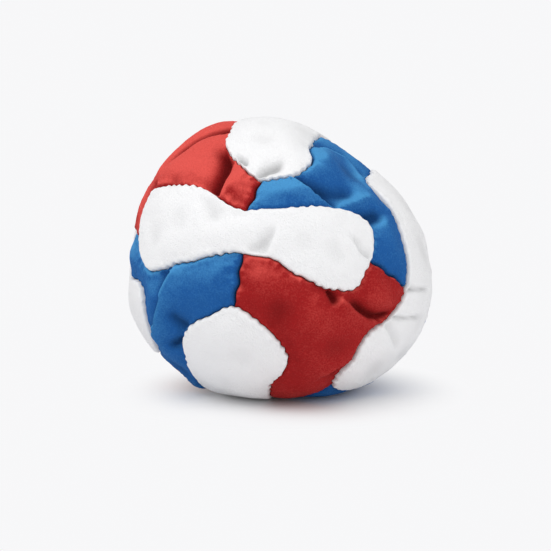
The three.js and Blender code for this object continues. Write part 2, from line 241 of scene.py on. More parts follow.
class FootbagForm(bpy.types.PropertyGroup):
    """Outer form of the bag, as it has slumped on the floor."""

    width: bpy.props.FloatProperty(
        name="Width", description="Across the widest part of the bag", default=54.6 * MM, unit="LENGTH"
    )
    depth: bpy.props.FloatProperty(
        name="Depth", description="Front to back", default=54.6 * MM, unit="LENGTH"
    )
    height: bpy.props.FloatProperty(
        name="Height", description="From the floor to the crown", default=48.8 * MM, unit="LENGTH"
    )
    widest_height: bpy.props.FloatProperty(
        name="Widest height",
        description="Height of the widest part above the floor",
        default=18.8 * MM,
        unit="LENGTH",
    )
    belly_sag: bpy.props.FloatProperty(
        name="Belly sag",
        description="How much of the belly the floor presses flat",
        default=3 * MM,
        unit="LENGTH",
    )
    crown_lean: bpy.props.FloatProperty(
        name="Crown lean",
        description="How far the crown leans to the left",
        default=3.2 * MM,
        unit="LENGTH",
    )
    lean_curve: bpy.props.FloatProperty(
        name="Lean curve", description="Power by which the lean grows with height", default=1.5
    )
    middle: bpy.props.FloatVectorProperty(
        name="Middle",
        description="Place of the bag's upright axis",
        default=(0.2 * MM, 0.15 * MM),
        size=2,
        subtype="TRANSLATION",
    )


class FootbagPanels(bpy.types.PropertyGroup):
    """Sizes of the suede panels and of their seams."""

    thickness: bpy.props.FloatProperty(
        name="Suede thickness", description="Thickness of the suede", default=0.9 * MM, unit="LENGTH"
    )
    seam_drop: bpy.props.FloatProperty(
        name="Seam drop",
        description="How far the seams lie below the outer form",
        default=1.4 * MM,
        unit="LENGTH",
    )
    seam_gap: bpy.props.FloatProperty(
        name="Seam gap",
        description="Gap between two panels where they are sewn",
        default=0.04 * MM,
        unit="LENGTH",
    )
    allowance_depth: bpy.props.FloatProperty(
        name="Seam allowance",
        description="How far a turned-in edge reaches below its seam",
        default=2.6 * MM,
        unit="LENGTH",
    )
    pucker_pitch: bpy.props.FloatProperty(
        name="Pucker pitch",
        description="Distance between the puckers that the stitches pull",
        default=1.7 * MM,
        unit="LENGTH",
    )
    pucker_height: bpy.props.FloatProperty(
        name="Pucker height",
        description="Height of the puckers beside a seam",
        default=0.09 * MM,
        unit="LENGTH",
    )
    fold_strength: bpy.props.FloatProperty(
        name="Fold strength", description="Multiplies the height of the folds", default=2.2
    )
    mesh_step: bpy.props.FloatProperty(
        name="Mesh step",
        description="Distance between the points of a panel's mesh",
        default=0.5 * MM,
        unit="LENGTH",
    )


class FootbagSewing(bpy.types.PropertyGroup):
    """Sizes of the thread and of the pellets."""

    thread_diameter: bpy.props.FloatProperty(
        name="Thread diameter", description="Thickness of the thread", default=0.4 * MM, unit="LENGTH"
    )
    stitch_depth: bpy.props.FloatProperty(
        name="Stitch depth",
        description="Middle of the thread below the seam",
        default=1 * MM,
        unit="LENGTH",
    )
    stitch_length: bpy.props.FloatProperty(
        name="Stitch length", description="Length of one stitch", default=1.45 * MM, unit="LENGTH"
    )
    pellet_diameter: bpy.props.FloatProperty(
        name="Pellet diameter", description="Width of one pellet", default=3 * MM, unit="LENGTH"
    )


class FootbagColours(bpy.types.PropertyGroup):
    """Colours of the suede, the thread, the pellets and the floor; the red and blue suede each come as a
    shaded and a lit copy, mixed as painted light.
    """

    white: bpy.props.FloatVectorProperty(
        name="White suede",
        description="Colour of the dog-bone panels",
        default=(0.88, 0.88, 0.89),
        subtype="COLOR",
        min=0,
        max=1,
    )
    # Painted shade: the red on faces turned from the light, the shaded copy of the red suede
    red: bpy.props.FloatVectorProperty(
        name="Red suede",
        description="Colour of the red corner panels where the nap lies down",
        default=(0.335, 0.013, 0.014),
        subtype="COLOR",
        min=0,
        max=1,
    )
    # Painted light: the red on faces turned to the light and on the ridges of the folds, the lit copy of the
    # red suede
    lit_red: bpy.props.FloatVectorProperty(
        name="Lit red suede",
        description="Colour of the red corner panels where the nap is rubbed up",
        default=(0.76, 0.096, 0.08),
        subtype="COLOR",
        min=0,
        max=1,
    )
    # Painted shade: the blue on faces turned from the light, the shaded copy of the blue suede
    blue: bpy.props.FloatVectorProperty(
        name="Blue suede",
        description="Colour of the blue corner panels where the nap lies down",
        default=(0.0135, 0.1, 0.335),
        subtype="COLOR",
        min=0,
        max=1,
    )
    # Painted light: the blue on faces turned to the light and on the ridges of the folds, the lit copy of
    # the blue suede
    lit_blue: bpy.props.FloatVectorProperty(
        name="Lit blue suede",
        description="Colour of the blue corner panels where the nap is rubbed up",
        default=(0.068, 0.3, 0.61),
        subtype="COLOR",
        min=0,
        max=1,
    )
    thread: bpy.props.FloatVectorProperty(
        name="Thread",
        description="Colour of the sewing thread",
        default=(0.017, 0.021, 0.042),
        subtype="COLOR",
        min=0,
        max=1,
    )
    pellets: bpy.props.FloatVectorProperty(
        name="Pellets",
        description="Colour of the plastic pellets",
        default=(0.79, 0.75, 0.64),
        subtype="COLOR",
        min=0,
        max=1,
    )
    floor: bpy.props.FloatVectorProperty(
        name="Floor",
        description="Colour of the floor",
        default=(0.88, 0.88, 0.89),
        subtype="COLOR",
        min=0,
        max=1,
    )


class FootbagStage(bpy.types.PropertyGroup):
    """Place of the camera."""

    elevation: bpy.props.FloatProperty(
        name="Elevation",
        description="Camera's angle above the floor",
        default=math.radians(9),
        subtype="ANGLE",
    )
    distance: bpy.props.FloatProperty(
        name="Distance", description="From the camera to its aim", default=420 * MM, unit="LENGTH"
    )
    frame_width: bpy.props.FloatProperty(
        name="Frame width",
        description="Width of the picture at the bag",
        default=97.9 * MM,
        unit="LENGTH",
    )
    aim: bpy.props.FloatVectorProperty(
        name="Aim",
        description="Point that the camera looks at",
        default=(-0.7 * MM, 0, 20.4 * MM),
        subtype="TRANSLATION",
    )


def unit(vectors):
    return vectors / np.linalg.norm(vectors, axis=-1, keepdims=True)


def towards(yaw, pitch):
    """The direction of a yaw and a pitch in degrees."""
    across, up = math.radians(yaw), math.radians(pitch)
    return np.array(
        (math.sin(across) * math.cos(up), -math.cos(across) * math.cos(up), math.sin(up))
    )


def smooth(share):
    """Rises gently from 0 at 0 to 1 at 1."""
    share = np.clip(share, 0, 1)
    return share * share * (3 - 2 * share)


class Form:
    """The outer form of the bag, as distances from its middle along directions."""

    def __init__(self, scene):
        sizes = scene.footbag_form
        self.half_width = sizes.width / MM / 2
        self.half_depth = sizes.depth / MM / 2
        self.middle_height = sizes.widest_height / MM
        self.rise = sizes.height / MM - self.middle_height
        self.fall = self.middle_height + sizes.belly_sag / MM
        self.lean = sizes.crown_lean / MM
        self.lean_curve = sizes.lean_curve
        self.middle_x, self.middle_y = (place / MM for place in sizes.middle)
        self.seam_drop = scene.footbag_panels.seam_drop / MM

    def radius(self, directions):
        """Distance to the outer form along directions."""
        up = np.where(directions[:, 2] > 0, self.rise, self.fall)
        shape = np.stack(
            (
                directions[:, 0] / self.half_width,
                directions[:, 1] / self.half_depth,
                directions[:, 2] / up,
            )
        )
        radius = 1 / np.linalg.norm(shape, axis=0)
        for yaw, pitch, reach, depth in HOLLOWS:
            cosine = np.clip(directions @ towards(yaw, pitch), -1, 1)
            away = np.degrees(np.arccos(cosine)) / reach
            radius -= depth * np.exp(-away * away)
        return radius

    def on_floor(self, directions):
        """Distance to the floor, which is far for a direction that doesn't meet it."""
        down = np.minimum(directions[:, 2], -TINY)
        return np.where(directions[:, 2] < 0, -self.middle_height / down, np.inf)

    def seam(self, directions):
        """Distance to the depth at which the panels are sewn."""
        return np.minimum(self.radius(directions) - self.seam_drop, self.on_floor(directions))

    def place(self, directions, radius):
        """Points of the leaning bag in millimetres."""
        points = directions * radius[:, None]
        climb = np.maximum(points[:, 2], 0) / self.rise
        points[:, 0] += self.middle_x - self.lean * climb**self.lean_curve
        points[:, 1] += self.middle_y
        points[:, 2] += self.middle_height
        return points


# Outlines of the panels
OUTLINE_STEPS = 24  # points in each span of a bone's outline
OUTLINE_STEP = 0.3  # distance between the points of a seam between two corner panels
SCALLOP_SIZE = 0.1  # how far each stitch pulls an outline to and fro
SCALLOP_SPREAD = 2.2  # how much that changes along the outline
SCALLOP_DRIFT = 2.5  # how far the pulls stray from their even places, in radians
DRIFT_RUN = 2  # stitches in one wave of such a change
WAVE_SIZE = 0.75  # how far an outline strays in slow waves
WAVE_LENGTH = 4.5
SEAM_WANDER = 0.25  # how far a cross seam strays from a straight line
WANDER_LENGTH = 4


def eased(share, before, here, after, beyond):
    """A smooth curve from here to after, steered by the points before and beyond."""
    leaving, arriving = (after - before) / 2, (beyond - here) / 2
    return (
        (2 * share**3 - 3 * share**2 + 1) * here
        + (share**3 - 2 * share**2 + share) * leaving
        + (3 * share**2 - 2 * share**3) * after
        + (share**3 - share**2) * arriving
    )


def closed_curve(corners, steps):
    """A smooth closed curve through corners, with a number of points from each to the next."""
    share = (np.arange(steps) / steps)[None, :, None]
    turned = (np.roll(corners, turn, axis=0)[:, None] for turn in (1, 0, -1, -2))
    return eased(share, *turned).reshape(-1, corners.shape[1])


def open_curve(points, steps):
    """A smooth open curve through points, with a number of points from each to the next."""
    ends = np.concatenate((2 * points[:1] - points[1:2], points, 2 * points[-1:] - points[-2:-1]))
    share = (np.arange(steps) / steps)[None, :, None]
    shifted = (ends[i : len(points) - 1 + i, None] for i in range(4))
    curve = eased(share, *shifted).reshape(-1, points.shape[1])
    return np.concatenate((curve, points[-1:]))


def lobe_point(middle, other, angle, reach):
    """The point of a lobe's outline at an angle from its tip, which points away from the other lobe."""
    tipwards = unit(middle * (middle @ other) - other)
    sideways = np.cross(middle, tipwards)
    angle, reach = math.radians(angle), math.radians(reach)
    aside = math.cos(angle) * tipwards + math.sin(angle) * sideways
    return math.cos(reach) * middle + math.sin(reach) * aside


def waver(shares, waves, seed):
    """A random value from -1 to 1 for each share of a closed line, with about so many waves round it."""
    reach = waves / math.tau
    angles = shares * math.tau
    places = zip(reach * np.cos(angles), reach * np.sin(angles))
    return np.array([noise.noise(Vector((x, y, seed))) for x, y in places])


def left_of(loop):
    """Directions to the left of a closed loop of directions, square to it."""
    return unit(np.cross(loop, np.roll(loop, -1, axis=0) - np.roll(loop, 1, axis=0)))


def bone_corners(bone):
    """The corners of a bone's plain outline, counter clockwise from its first tip, and its middle."""
    middles = [towards(yaw, pitch) for yaw, pitch, _ in bone["lobes"]]
    lobes = []
    for (_, _, reaches), middle, other in zip(bone["lobes"], middles, reversed(middles)):
        lobes.append([lobe_point(middle, other, *place) for place in zip(EIGHTH_ANGLES, reaches)])
    along = middles[1] - middles[0]
    across = unit(np.cross(*middles))
    waists = []
    for side, share, reach in zip((-1, 1), bone["waist_places"], bone["waist_reach"]):
        reach = math.radians(reach)
        start = unit(middles[0] + along * share)
        waists.append(math.cos(reach) * start + side * math.sin(reach) * across)
    tip = EIGHTH_ANGLES.index(0)
    corners = lobes[0][tip:] + [waists[0]] + lobes[1] + [waists[1]] + lobes[0][:tip]
    return np.array(corners), unit(middles[0] + along * sum(bone["waist_places"]) / 2)


def bone_outline(form, name, pitch):
    """The outline of a bone, pulled to and fro by stitches at a pitch, and its middle."""
    corners, middle = bone_corners(BONES[name])
    loop = unit(closed_curve(corners, OUTLINE_STEPS))
    radius = form.seam(loop)
    steps = np.linalg.norm(np.roll(loop, -1, axis=0) - loop, axis=1) * radius
    length = steps.sum()
    shares = np.cumsum(steps) / length
    stitches = round(length / pitch)
    seed = 10 * list(BONES).index(name) + SEED_START
    size = SCALLOP_SIZE * (1 + SCALLOP_SPREAD * waver(shares, stitches / DRIFT_RUN, seed + 1))
    drift = SCALLOP_DRIFT * waver(shares, stitches / DRIFT_RUN, seed + 2)
    shift = size * np.cos(math.tau * stitches * shares + drift)
    shift += WAVE_SIZE * waver(shares, length / WAVE_LENGTH, seed + 3)
    return unit(loop + left_of(loop) * (shift / radius)[:, None]), middle


def cross_seam(form, loops, waist_bone, tip_bone):
    """The seam between two corner panels, from a bone's waist to the tip of the bone beside it."""
    start = loops[waist_bone][waist_index(waist_bone, tip_bone)]
    end = loops[tip_bone][tip_index(tip_bone, waist_bone)]
    length = np.linalg.norm(end - start) * form.seam(unit(start + end)[None])[0]
    count = max(3, round(length / OUTLINE_STEP))
    share = np.linspace(0, 1, count + 1)
    seam = unit(start + (end - start) * share[:, None])
    aside = unit(np.cross(start, end))
    wander = SEAM_WANDER * np.sin(math.tau * share * length / WANDER_LENGTH) * np.sin(math.pi * share)
    return unit(seam + aside * (wander / form.seam(seam))[:, None])


def tip_index(bone, neighbour):
    """Which point of a bone's outline is its tip beside a neighbour."""
    return BONES[bone]["tips"].index(neighbour) * 2 * SPANS * OUTLINE_STEPS


def waist_index(bone, neighbour):
    """Which point of a bone's outline is its waist beside a neighbour."""
    return (1 + 2 * BONES[bone]["waists"].index(neighbour)) * SPANS * OUTLINE_STEPS


def bone_quarter(loops, bone, tip, waist):
    """The quarter of a bone's outline from one tip to one waist."""
    loop = loops[bone]
    quarter = SPANS * OUTLINE_STEPS
    start = tip_index(bone, tip)
    forward = (waist_index(bone, waist) - start) % len(loop) == quarter
    steps = np.arange(quarter + 1) * (1 if forward else -1)
    return loop[(start + steps) % len(loop)]


class Panel(NamedTuple):
    """One suede panel."""

    name: str
    colour: str
    loop: np.ndarray  # directions of its outline, counter clockwise
    middle: np.ndarray
    crossing: np.ndarray  # 1 at each point of its outline that is on a cross seam


def corner_panel(form, loops, side, face, level):
    """Three bone quarters joined by three cross seams, counter clockwise."""
    ring = ((face, side, level), (level, face, side), (side, level, face))
    quarters = [bone_quarter(loops, *names) for names in ring]
    seams = [cross_seam(form, loops, bone, waist)[1:-1] for bone, _, waist in ring]
    parts = [part for pair in zip(quarters, seams) for part in pair]
    loop = np.concatenate(parts)
    crossing = np.repeat((0, 1) * len(ring), [len(part) for part in parts])
    middle = unit(np.concatenate(quarters).sum(axis=0))
    area = np.cross(loop, np.roll(loop, -1, axis=0)).sum(axis=0)
    if area @ middle < 0:
        loop, crossing = loop[::-1], crossing[::-1]
    red = (side == "left") == ((face == "front") == (level == "top"))
    colour = "red" if red else "blue"
    height = "upper" if level == "top" else "lower"
    return Panel(f"{colour}_panel_{face}_{height}_{side}", colour, loop, middle, crossing)


def make_outlines(scene):
    """The form of the bag, the outlines of its bones, and every panel."""
    form = Form(scene)
    pitch = scene.footbag_panels.pucker_pitch / MM
    outlines = {name: bone_outline(form, name, pitch) for name in BONES}
    loops = {name: loop for name, (loop, _) in outlines.items()}
    panels = [
        Panel(f"white_bone_{name}", "white", loop, middle, np.zeros(len(loop)))
        for name, (loop, middle) in outlines.items()
    ]
    for names in product(("left", "right"), ("front", "back"), ("top", "bottom")):
        panels.append(corner_panel(form, loops, *names))
    return form, loops, panels


class FlatCut:
    """A panel laid flat round its middle, which keeps lengths from there."""

    def __init__(self, form, panel):
        self.middle = panel.middle
        self.scale = form.radius(panel.middle[None])[0]
        self.east = unit(np.cross(NEARLY_UP, panel.middle))
        self.north = np.cross(panel.middle, self.east)

    def flatten(self, directions):
        aside = np.stack((directions @ self.east, directions @ self.north), axis=1)
        angle = np.arccos(np.clip(directions @ self.middle, -1, 1))
        length = np.maximum(np.linalg.norm(aside, axis=1), TINY)
        return aside * (angle * self.scale / length)[:, None]

    def lift(self, points):
        length = np.maximum(np.linalg.norm(points, axis=1), TINY)
        angle = length / self.scale
        aside = points[:, :1] * self.east + points[:, 1:] * self.north
        return np.cos(angle)[:, None] * self.middle + aside * (np.sin(angle) / length)[:, None]


def near_path(points, path):
    """How far points lie from a path, where along it, from 0, and how far to its left."""
    start = path[:-1]
    step = path[1:] - start
    lengths = np.linalg.norm(step, axis=1)
    along = np.concatenate(((0,), np.cumsum(lengths)))
    offset = points[:, None] - start[None]
    share = np.clip((offset * step).sum(axis=2) / lengths**2, 0, 1)
    gap = offset - share[..., None] * step
    distance = np.linalg.norm(gap, axis=2)
    nearest = distance.argmin(axis=1)
    rows = np.arange(len(points))
    place = along[nearest] + share[rows, nearest] * lengths[nearest]
    turn = step[nearest, 0] * offset[rows, nearest, 1] - step[nearest, 1] * offset[rows, nearest, 0]
    return distance[rows, nearest], place, turn / lengths[nearest]


def inside(points, outline):
    """Which points lie inside a closed outline."""
    after = np.roll(outline, -1, axis=0)
    x, y = points[:, :1], points[:, 1:]
    spans = (outline[:, 1] > y) != (after[:, 1] > y)
    rise = np.where(after[:, 1] == outline[:, 1], 1, after[:, 1] - outline[:, 1])
    crossing = outline[:, 0] + (after[:, 0] - outline[:, 0]) * (y - outline[:, 1]) / rise
    return (spans & (x < crossing)).sum(axis=1) % 2 == 1


# Folds of a panel
FOLD_STEPS = 16  # points of a fold's path from each place to the next
FOLD_END = 0.4  # share of a fold's length over which it fades
FOLD_START = 0.7  # distance from a seam over which folds rise


def folds_of(panel, cut, points):
    """Height of a panel's folds at points of its flat cut."""
    total = np.zeros(len(points))
    for fold in FOLDS.get(panel.name, ()):
        places = cut.flatten(np.array([towards(*place) for place in fold.path]))
        line = open_curve(places, FOLD_STEPS)
        distance, along, aside = near_path(points, line)
        share = along / np.linalg.norm(np.diff(line, axis=0), axis=1).sum()
        first, last = fold.ends
        keep = first + (1 - first) * smooth(share / FOLD_END)
        keep *= last + (1 - last) * smooth((1 - share) / FOLD_END)
        away = np.sqrt(distance**2 + fold.roundness**2) - fold.roundness
        sides = fold.left, fold.right or fold.left
        left, right = (height * np.exp(-away / width) for height, width in sides)
        total += keep * (right + (left - right) * (1 + np.tanh(aside / fold.roundness)) / 2)
    return total


class Section(NamedTuple):
    """How one kind of panel is shaped from its seam to its crown, with depths below the outer form."""

    edge_depth: float  # where its edge begins to roll down
    crown_depth: float
    roll_depth: float  # how far its edge rolls down into the seam
    gather: float  # how strongly the stitches gather it
    growth: float  # share by which its cloth is too large


BONE_SECTION = Section(edge_depth=0.6, crown_depth=0.5, roll_depth=0.3, gather=0.6, growth=0.04)
CORNER_SECTION = Section(edge_depth=1.2, crown_depth=0.75, roll_depth=0.25, gather=1, growth=0.09)
SECTIONS = {"white": BONE_SECTION, "red": CORNER_SECTION, "blue": CORNER_SECTION}
SWELL_RUN = 6.5  # distance from the seam over which a panel swells to its crown
ROLL = 0.4  # radius of a rolled edge
CROSS_ROLL = 0.9  # radius of the edge at a seam between two corner panels
CROSS_DEPTH = 0.8  # depth of the groove there
CROSS_ROUNDS = 4  # how gently that groove ends
WALL_FOOT = 0.25  # how far above the seam the wall of a panel's edge ends
ALLOWANCE_WIDTH = 0.7  # how wide the turned-in edge is
REST_EASE = 3  # how gently the suede curves onto the floor

# Puckers that the stitches pull
PUCKER_START = 0.5  # distance from a seam over which they rise
PUCKER_REACH = 1.8  # and over which they die away
PUCKER_SPREAD = 0.9  # how much their height changes along a seam
REACH_SPREAD = 0.6  # how much their reach does
PUCKER_DRIFT = 2  # how far they stray from their even places, in radians
SPREAD_RUN = 2.3  # puckers in one wave of their height
REACH_RUN = 1.7  # and in one wave of their reach

# Points of a panel's mesh
EDGE_RINGS = (0.12, 0.28, 0.5, 0.8, 1.15)  # rings of points beside the seam
RING_KEEP = 0.93  # a ring leaves out what lies nearer to the outline than this share of its distance

# Painted light on the suede: lighter where it faces the light and on the ridges of its folds
PAINTED_LIGHT_FROM = (-0.35, -0.2, 0.9)  # painted light: the suede is painted lighter where it faces this way, towards the light
LIT_LOW = 0.35  # not at all where it faces that way by this much
LIT_HIGH = 0.95  # and fully by this much
RIDGE_HIGHLIGHT = 0.9  # painted highlight on the ridges of the folds too, by so much for each millimetre
RIDGE_LEAST = 0.3  # share of that on a ridge that faces another way
RELIEF_ROUNDS = 40  # how wide the relief of a fold is looked for


def resting(radius, floor):
    """The lesser of two distances from the middle, eased where they meet."""
    ease = np.clip(1 - np.abs(radius - floor) / REST_EASE, 0, 1)
    return np.minimum(radius, floor) - REST_EASE / 4 * ease**2


def rounded(share):
    """Falls in a quarter circle from 1 at 0 to 0 at 1."""
    turn = 1 - np.clip(share, 0, 1)
    return 1 - np.sqrt(1 - turn**2)


def panel_depth(panel, distance, crossing):
    """Depth of a panel below the outer form, from the distance to its seam and the share of a cross seam."""
    section = SECTIONS[panel.colour]
    swell = np.sin(np.clip(distance / SWELL_RUN, 0, 1) * math.pi / 2)
    fall = section.roll_depth * rounded(distance / ROLL)
    fall += crossing * CROSS_DEPTH * rounded(distance / CROSS_ROLL)
    return section.edge_depth + (section.crown_depth - section.edge_depth) * swell + fall


def puckers(scene, panel, distance, shares, length):
    """The small gathers that the stitches pull beside a seam, from places along its closed outline."""
    sizes = scene.footbag_panels
    count = round(length / (sizes.pucker_pitch / MM))
    seed = sum(map(ord, panel.name)) % 97 + SEED_START
    height = sizes.pucker_height / MM * SECTIONS[panel.colour].gather
    size = height * (1 + PUCKER_SPREAD * waver(shares, count / SPREAD_RUN, seed))
    reach = PUCKER_REACH * (1 + REACH_SPREAD * waver(shares, count / REACH_RUN, seed + 3))
    drift = PUCKER_DRIFT * waver(shares, count / DRIFT_RUN, seed + 5)
    wave = np.cos(math.tau * count * shares + drift)
    return size * wave * smooth(distance / PUCKER_START) * np.exp(-distance / reach)


def panel_points(panel, cut, step, rings):
    """A panel's outline laid flat, and the points of its flat cut: the outline, rings and an even field."""
    outline = cut.flatten(panel.loop)
    closed = np.concatenate((outline, outline[:1]))
    forward = np.roll(outline, -1, axis=0) - np.roll(outline, 1, axis=0)
    inward = unit(np.stack((-forward[:, 1], forward[:, 0]), axis=1))
    groups = [outline]
    for ring in rings:
        moved = outline + inward * ring
        distance, _, _ = near_path(moved, closed)
        groups.append(moved[(distance > RING_KEEP * ring) & inside(moved, outline)])
    low, high = outline.min(axis=0), outline.max(axis=0)
    rows = []
    for i, y in enumerate(np.arange(low[1], high[1], step * ROW_HEIGHT)):
        xs = np.arange(low[0] + step / 2 * (i % 2), high[0], step)
        rows.append(np.stack((xs, np.full(len(xs), y)), axis=1))
    field = np.concatenate(rows)
    field = field[inside(field, outline)]
    distance, _, _ = near_path(field, closed)
    groups.append(field[distance > max(rings, default=0) + step / 2])
    return outline, np.concatenate(groups)


def fill(points, count):
    """Triangles between points whose first count make a closed outline."""
    edges = [(i, (i + 1) % count) for i in range(count)]
    vertices = [Vector(point) for point in points]
    _, _, faces, origins, _, _ = delaunay_2d_cdt(vertices, edges, [], 1, MERGE_DISTANCE)
    if len(origins) != len(points):
        raise RuntimeError(f"an outline crosses itself: {len(origins)} of {len(points)} points")
    first = [origin[0] for origin in origins]
    return [[first[corner] for corner in face] for face in faces]


def blurred(values, triangles, rounds):
    """Values at the points of a mesh, each averaged with its neighbours a number of times."""
    pairs = np.array(triangles)[:, (0, 1, 1, 2, 2, 0)].reshape(-1, 2)
    pairs = np.concatenate((pairs, pairs[:, ::-1]))
    neighbours = np.bincount(pairs[:, 0], minlength=len(values))
    for _ in range(rounds):
        values = np.bincount(pairs[:, 0], values[pairs[:, 1]], len(values)) / neighbours
    return values


def panel_surface(form, panel, step, rings):
    """A panel's flat cut, its points and triangles, and for each point its distance to the seam, its
    place along it and the share of a cross seam there."""
    cut = FlatCut(form, panel)
    outline, points = panel_points(panel, cut, step, rings)
    triangles = fill(points, len(outline))
    closed = np.concatenate((outline, outline[:1]))
    distance, along, _ = near_path(points, closed)
    distance[: len(outline)] = 0
    ends = np.cumsum(np.linalg.norm(np.diff(closed, axis=0), axis=1))
    nearest = np.searchsorted(ends, along) % len(outline)
    crossing = blurred(panel.crossing[nearest], triangles, CROSS_ROUNDS)
    return cut, points, triangles, distance, along, crossing


def new_mesh(name, points, faces, smooth_faces=True):
    mesh = bpy.data.meshes.new(name)
    mesh.from_pydata((np.asarray(points) * MM).tolist(), [], faces)
    mesh.validate()
    mesh.polygons.foreach_set("use_smooth", [smooth_faces] * len(mesh.polygons))
    mesh.update()
    return mesh


def add_object(name, data):
    piece = bpy.data.objects.new(name, data)
    bpy.context.scene.collection.objects.link(piece)
    return piece


# The suede as cloth a little too large for its seams, at a large scale where the solver is steady
SLACK_STEP = 1.8  # distance between the points of the simulated cloth
SLACK_SCALE = 50  # how much larger than the bag the cloth is simulated
SLACK_FRAMES = 20
SLACK_LIMIT = 1.1  # farthest that a point may move in or out
SLACK_PIN = 0.5  # how firmly the filling holds the suede, where 1 is fixed
SLACK_ROUNDS = 1  # how far the stiff suede evens out its wrinkles
SLACK_NEIGHBOURS = 6  # points of the cloth that a point of a panel follows
SLACK_SETTINGS = {
    "quality": 6,
    "mass": 0.3,
    "tension_stiffness": 20,
    "compression_stiffness": 20,
    "shear_stiffness": 8,
    "bending_stiffness": 6,
    "air_damping": 2,
}


def simulate(scene, start, triangles, sewn, growth):
    """Lets a cloth that has grown wrinkle between its sewn points, and returns where its points went."""
    cloth = add_object("slack", new_mesh("slack", start * SLACK_SCALE, triangles))
    pins = cloth.vertex_groups.new(name="held")
    pins.add(np.flatnonzero(sewn).tolist(), 1, "REPLACE")
    pins.add(np.flatnonzero(~sewn).tolist(), SLACK_PIN, "REPLACE")
    modifier = cloth.modifiers.new("Slack", "CLOTH")
    for name, value in SLACK_SETTINGS.items():
        setattr(modifier.settings, name, value)
    modifier.settings.vertex_group_mass = pins.name
    modifier.settings.shrink_min = -growth
    modifier.settings.effector_weights.gravity = 0
    modifier.collision_settings.use_collision = False
    modifier.point_cache.frame_start = 1
    modifier.point_cache.frame_end = SLACK_FRAMES
    for frame_number in range(1, SLACK_FRAMES + 1):
        scene.frame_set(frame_number)
    moved = np.zeros(start.size, np.float32)
    evaluated = cloth.evaluated_get(bpy.context.evaluated_depsgraph_get())
    evaluated.data.vertices.foreach_get("co", moved)
    mesh = cloth.data
    bpy.data.objects.remove(cloth)
    bpy.data.meshes.remove(mesh)
    return moved.reshape(-1, 3) / MM / SLACK_SCALE


def slacken(scene, form, panels):
    """Lets panels wrinkle as slack cloth. For each, gives points of its flat cut and how far they rose."""
    strength = scene.footbag_panels.fold_strength
    slack = {}
    for panel in panels:
        cut, flat, triangles, distance, _, crossing = panel_surface(form, panel, SLACK_STEP, ())
        directions = cut.lift(flat)
        folds = strength * folds_of(panel, cut, flat) * smooth(distance / FOLD_START)
        radius = form.radius(directions) - panel_depth(panel, distance, crossing) + folds
        start = form.place(directions, radius)
        sewn = distance < SLACK_STEP / 2
        moved = simulate(scene, start, triangles, sewn, SECTIONS[panel.colour].growth)
        rise = blurred(((moved - start) * directions).sum(axis=1), triangles, SLACK_ROUNDS)
        slack[panel.name] = flat, np.clip(rise, -SLACK_LIMIT, SLACK_LIMIT)
    scene.frame_set(1)
    return slack


def wrinkles(slack, points):
    """How far the slack suede rose at points of a panel's flat cut."""
    flat, rise = slack
    tree = kdtree.KDTree(len(flat))
    for i, place in enumerate(flat):
        tree.insert((*place, 0), i)
    tree.balance()
    heights = np.zeros(len(points))
    for i, place in enumerate(points):
        near = tree.find_n((*place, 0), SLACK_NEIGHBOURS)
        weights = [math.exp(-((gap / SLACK_STEP) ** 2)) + TINY for _, _, gap in near]
        heights[i] = sum(w * rise[j] for w, (_, j, _) in zip(weights, near)) / sum(weights)
    return heights


def store(mesh, name, values):
    """Keeps a number for each point of a mesh under a name that the materials read."""
    attribute = mesh.attributes.new(name, "FLOAT", "POINT")
    attribute.data.foreach_set("value", np.asarray(values, np.float32))


def store_painted_light(mesh, distance, relief):
    """Keeps the distance to the seam and the relief of the folds, which the materials darken with painted
    shade, and the share of painted light: how far the suede faces the light, with painted highlights on the
    ridges.
    """
    normals = np.zeros(len(mesh.vertices) * 3, np.float32)
    mesh.vertices.foreach_get("normal", normals)
    # painted light: lighter where the suede faces the light
    facing = normals.reshape(-1, 3) @ np.array(PAINTED_LIGHT_FROM)
    rubbed = smooth((facing - LIT_LOW) / (LIT_HIGH - LIT_LOW))
    # painted highlight on the ridges of the folds
    ridge = RIDGE_HIGHLIGHT * relief * (RIDGE_LEAST + (1 - RIDGE_LEAST) * rubbed)
    store(mesh, "seam_distance", distance)
    store(mesh, "relief", relief)
    store(mesh, "rubbed", np.clip(rubbed + ridge, 0, 1))


def length_round(outline):
    return np.linalg.norm(np.roll(outline, -1, axis=0) - outline, axis=1).sum()


def panel_mesh(name, scene, form, panel, slack):
    """The closed mesh of a panel with its edges turned in, and its outline laid flat."""
    sizes = scene.footbag_panels
    cut, points, triangles, distance, along, crossing = panel_surface(
        form, panel, sizes.mesh_step / MM, EDGE_RINGS
    )
    count = len(panel.loop)
    outline = points[:count]
    perimeter = length_round(outline)
    directions = cut.lift(points)
    start = smooth(distance / FOLD_START)
    folds = sizes.fold_strength * folds_of(panel, cut, points) * start + wrinkles(slack, points) * start
    gathers = puckers(scene, panel, distance, along / perimeter, perimeter)
    depth = panel_depth(panel, distance, crossing)
    outside = resting(form.radius(directions) - depth + folds + gathers, form.on_floor(directions))
    lining = outside - sizes.thickness / MM
    turned_in = np.minimum(form.seam(directions) - sizes.allowance_depth / MM, lining)
    lining = np.where(distance > ALLOWANCE_WIDTH, lining, turned_in)
    outside[:count] = np.minimum(outside[:count], form.seam(directions[:count]) + WALL_FOOT)

    half_gap = sizes.seam_gap / MM / 2
    aside = left_of(panel.loop) * (half_gap / form.seam(panel.loop))[:, None]
    directions[:count] = unit(directions[:count] + aside)
    vertices = np.concatenate((form.place(directions, outside), form.place(directions, lining)))
    lower = len(points)
    faces = [list(face) for face in triangles]
    faces += [[corner + lower for corner in reversed(face)] for face in triangles]
    for i in range(count):
        after = (i + 1) % count
        faces.append([after, i, i + lower, after + lower])
    mesh = new_mesh(name, vertices, faces)
    relief = folds - blurred(folds, triangles, RELIEF_ROUNDS)
    store_painted_light(mesh, np.tile(distance, 2), np.tile(relief, 2))
    return mesh, outline


